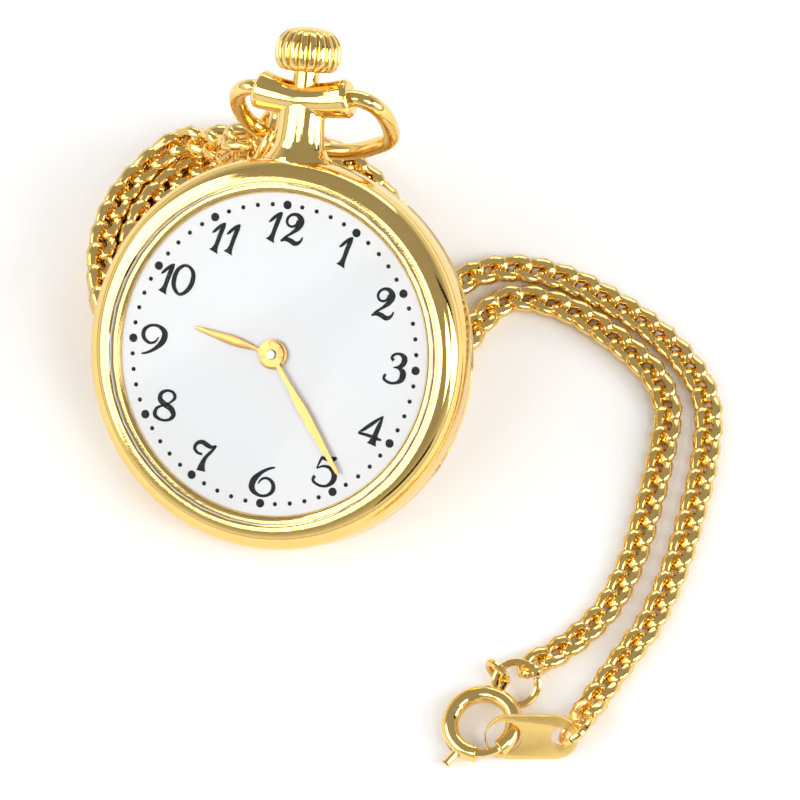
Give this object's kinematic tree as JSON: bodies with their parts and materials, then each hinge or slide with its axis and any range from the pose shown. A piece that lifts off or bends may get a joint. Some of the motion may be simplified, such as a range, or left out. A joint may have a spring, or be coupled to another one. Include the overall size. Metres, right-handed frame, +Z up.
{
  "type": "pocket watch",
  "caption": "Open-face pendant pocket watch with ribbed crown, swinging bow, quartz movement and doubled curb chain with spring ring clasp.",
  "frame": {"origin": "bottom centre of the box round the watch without its chain, on the floor that its rim and its chain's coil rest on", "axes": "+Z up; +Y is the floor direction that 12 o'clock points to; +X to the right of a viewer facing the dial"},
  "size_m": [0.062, 0.07, 0.0314],
  "materials": {
    "gold": "polished gold plate",
    "hand_gold": "satin gilt leaf",
    "steel": "fine turned steel",
    "movement_brass": "matt plated brass",
    "copper": "lacquered copper winding",
    "circuit_green": "solder mask",
    "chip_black": "moulded resin",
    "gasket_rubber": "matt",
    "white_plastic": "moulded",
    "dial_white": "smooth white enamel lacquer",
    "crystal_glass": "clear polished"
  },
  "bodies": {
    "case": {"case_back": "gold", "back_gasket": "gasket_rubber", "case_band": "gold", "bezel": "gold", "crystal": "crystal_glass", "crystal_gasket": "white_plastic", "dial_flange": "gold", "dial": "dial_white", "main_plate": "movement_brass", "movement_holder": "white_plastic", "train_bridge": "movement_brass", "bridge_screw_1": "steel", "bridge_screw_2": "steel", "bridge_screw_3": "steel", "battery": "steel", "battery_clamp": "steel", "motor_coil": "copper", "coil_core": "steel", "stator": "steel", "circuit_board": "circuit_green", "control_chip": "chip_black", "quartz_can": "steel", "pendant": "gold", "stem_sleeve": "gold", "chain_coil": "gold", "chain_inner": "gold", "chain_outer": "gold", "chain_left": "gold", "chain_right": "gold", "clasp_ring": "gold", "clasp_spring": "steel", "jump_ring": "gold", "chain_tab": "gold", "tab_link": "gold"},
    "bow": {"bow": "gold"},
    "bow_ring": {"bow_ring": "gold"},
    "crown_slider": {"crown_gasket": "gasket_rubber"},
    "crown": {"crown": "gold", "stem": "steel"},
    "clutch": {"clutch_wheel": "steel"},
    "setting_lever": {"setting_lever": "steel"},
    "yoke": {"yoke": "steel"},
    "minute": {"minute_hand": "hand_gold", "centre_wheel": "steel"},
    "hour": {"hour_hand": "hand_gold", "hour_wheel": "movement_brass"},
    "minute_wheel": {"minute_wheel": "movement_brass"},
    "setting_wheel": {"setting_wheel": "steel"},
    "third_wheel": {"third_wheel": "movement_brass"},
    "fifth_wheel": {"fifth_wheel": "movement_brass"},
    "rotor": {"rotor": "steel"},
    "clasp_trigger": {"clasp_trigger": "gold"}
  },
  "joints": [
    {"name": "bow_swing", "type": "hinge", "parent": "case", "child": "bow", "pos_m": [0.00223, 0.01613, 0.0262], "axis": [0.9438, -0.2447, 0.2221], "range_deg": [-4, 178]},
    {"name": "bow_ring_swing", "type": "hinge", "parent": "bow", "child": "bow_ring", "pos_m": [-0.00144, 0.0171, 0.01685], "axis": [0.8963, -0.2306, -0.3789], "range_deg": [-35, 35]},
    {"name": "crown_pull", "type": "slide", "parent": "case", "child": "crown_slider", "axis": [0.0925, 0.8407, 0.5335], "range_m": [0, 0.0009]},
    {"name": "crown_turn", "type": "hinge", "parent": "crown_slider", "child": "crown", "pos_m": [0.00242, 0.01787, 0.02731], "axis": [0.0925, 0.8407, 0.5335], "continuous": true},
    {"name": "clutch_slide", "type": "slide", "parent": "case", "child": "clutch", "axis": [0.0925, 0.8407, 0.5335], "range_m": [-0.0008, 0.0001]},
    {"name": "setting_lever_turn", "type": "hinge", "parent": "case", "child": "setting_lever", "pos_m": [0.00431, 0.00265, 0.0142], "axis": [-0.3173, -0.483, 0.8161], "range_deg": [-21, 1]},
    {"name": "yoke_turn", "type": "hinge", "parent": "case", "child": "yoke", "pos_m": [-0.00116, 0.00407, 0.01291], "axis": [-0.3173, -0.483, 0.8161], "range_deg": [-18, 1]},
    {"name": "minute_turn", "type": "hinge", "parent": "case", "child": "minute", "pos_m": [0.00116, -0.0031, 0.00957], "axis": [-0.3173, -0.483, 0.8161], "continuous": true},
    {"name": "hour_turn", "type": "hinge", "parent": "case", "child": "hour", "pos_m": [-0.0008, -0.00607, 0.01459], "axis": [-0.3173, -0.483, 0.8161], "continuous": true},
    {"name": "minute_wheel_turn", "type": "hinge", "parent": "case", "child": "minute_wheel", "pos_m": [0.00098, -0.00101, 0.01074], "axis": [-0.3173, -0.483, 0.8161], "continuous": true},
    {"name": "setting_wheel_turn", "type": "hinge", "parent": "case", "child": "setting_wheel", "pos_m": [0.00175, 0.00134, 0.01243], "axis": [-0.3173, -0.483, 0.8161], "continuous": true},
    {"name": "third_wheel_turn", "type": "hinge", "parent": "case", "child": "third_wheel", "pos_m": [-0.00032, -0.00189, 0.00971], "axis": [-0.3173, -0.483, 0.8161], "continuous": true},
    {"name": "fifth_wheel_turn", "type": "hinge", "parent": "case", "child": "fifth_wheel", "pos_m": [-0.00198, -0.00199, 0.00901], "axis": [-0.3173, -0.483, 0.8161], "continuous": true},
    {"name": "rotor_turn", "type": "hinge", "parent": "case", "child": "rotor", "pos_m": [-0.00237, -0.0034, 0.00802], "axis": [-0.3173, -0.483, 0.8161], "continuous": true},
    {"name": "clasp_trigger_slide", "type": "hinge", "parent": "case", "child": "clasp_trigger", "pos_m": [0.0192, -0.0391, 0.0016], "axis": [0.1587, 0.0455, -0.9863], "range_deg": [0, 40], "stiffness_Nm_per_rad": 0.0002, "springref_deg": -20.05, "deforming": ["clasp_spring"]}
  ],
  "couplings": [
    {"joint": "clutch_slide", "follows": "crown_pull", "ratio": -0.78},
    {"joint": "setting_lever_turn", "follows": "crown_pull", "rad_per_m": -384.6},
    {"joint": "yoke_turn", "follows": "crown_pull", "rad_per_m": -322},
    {"joint": "hour_turn", "follows": "minute_turn", "ratio": 0.083333},
    {"joint": "minute_wheel_turn", "follows": "minute_turn", "ratio": -0.33333},
    {"joint": "setting_wheel_turn", "follows": "minute_turn", "ratio": 0.5},
    {"joint": "third_wheel_turn", "follows": "minute_turn", "ratio": -3},
    {"joint": "fifth_wheel_turn", "follows": "minute_turn", "ratio": 15},
    {"joint": "rotor_turn", "follows": "minute_turn", "ratio": -90}
  ]
}
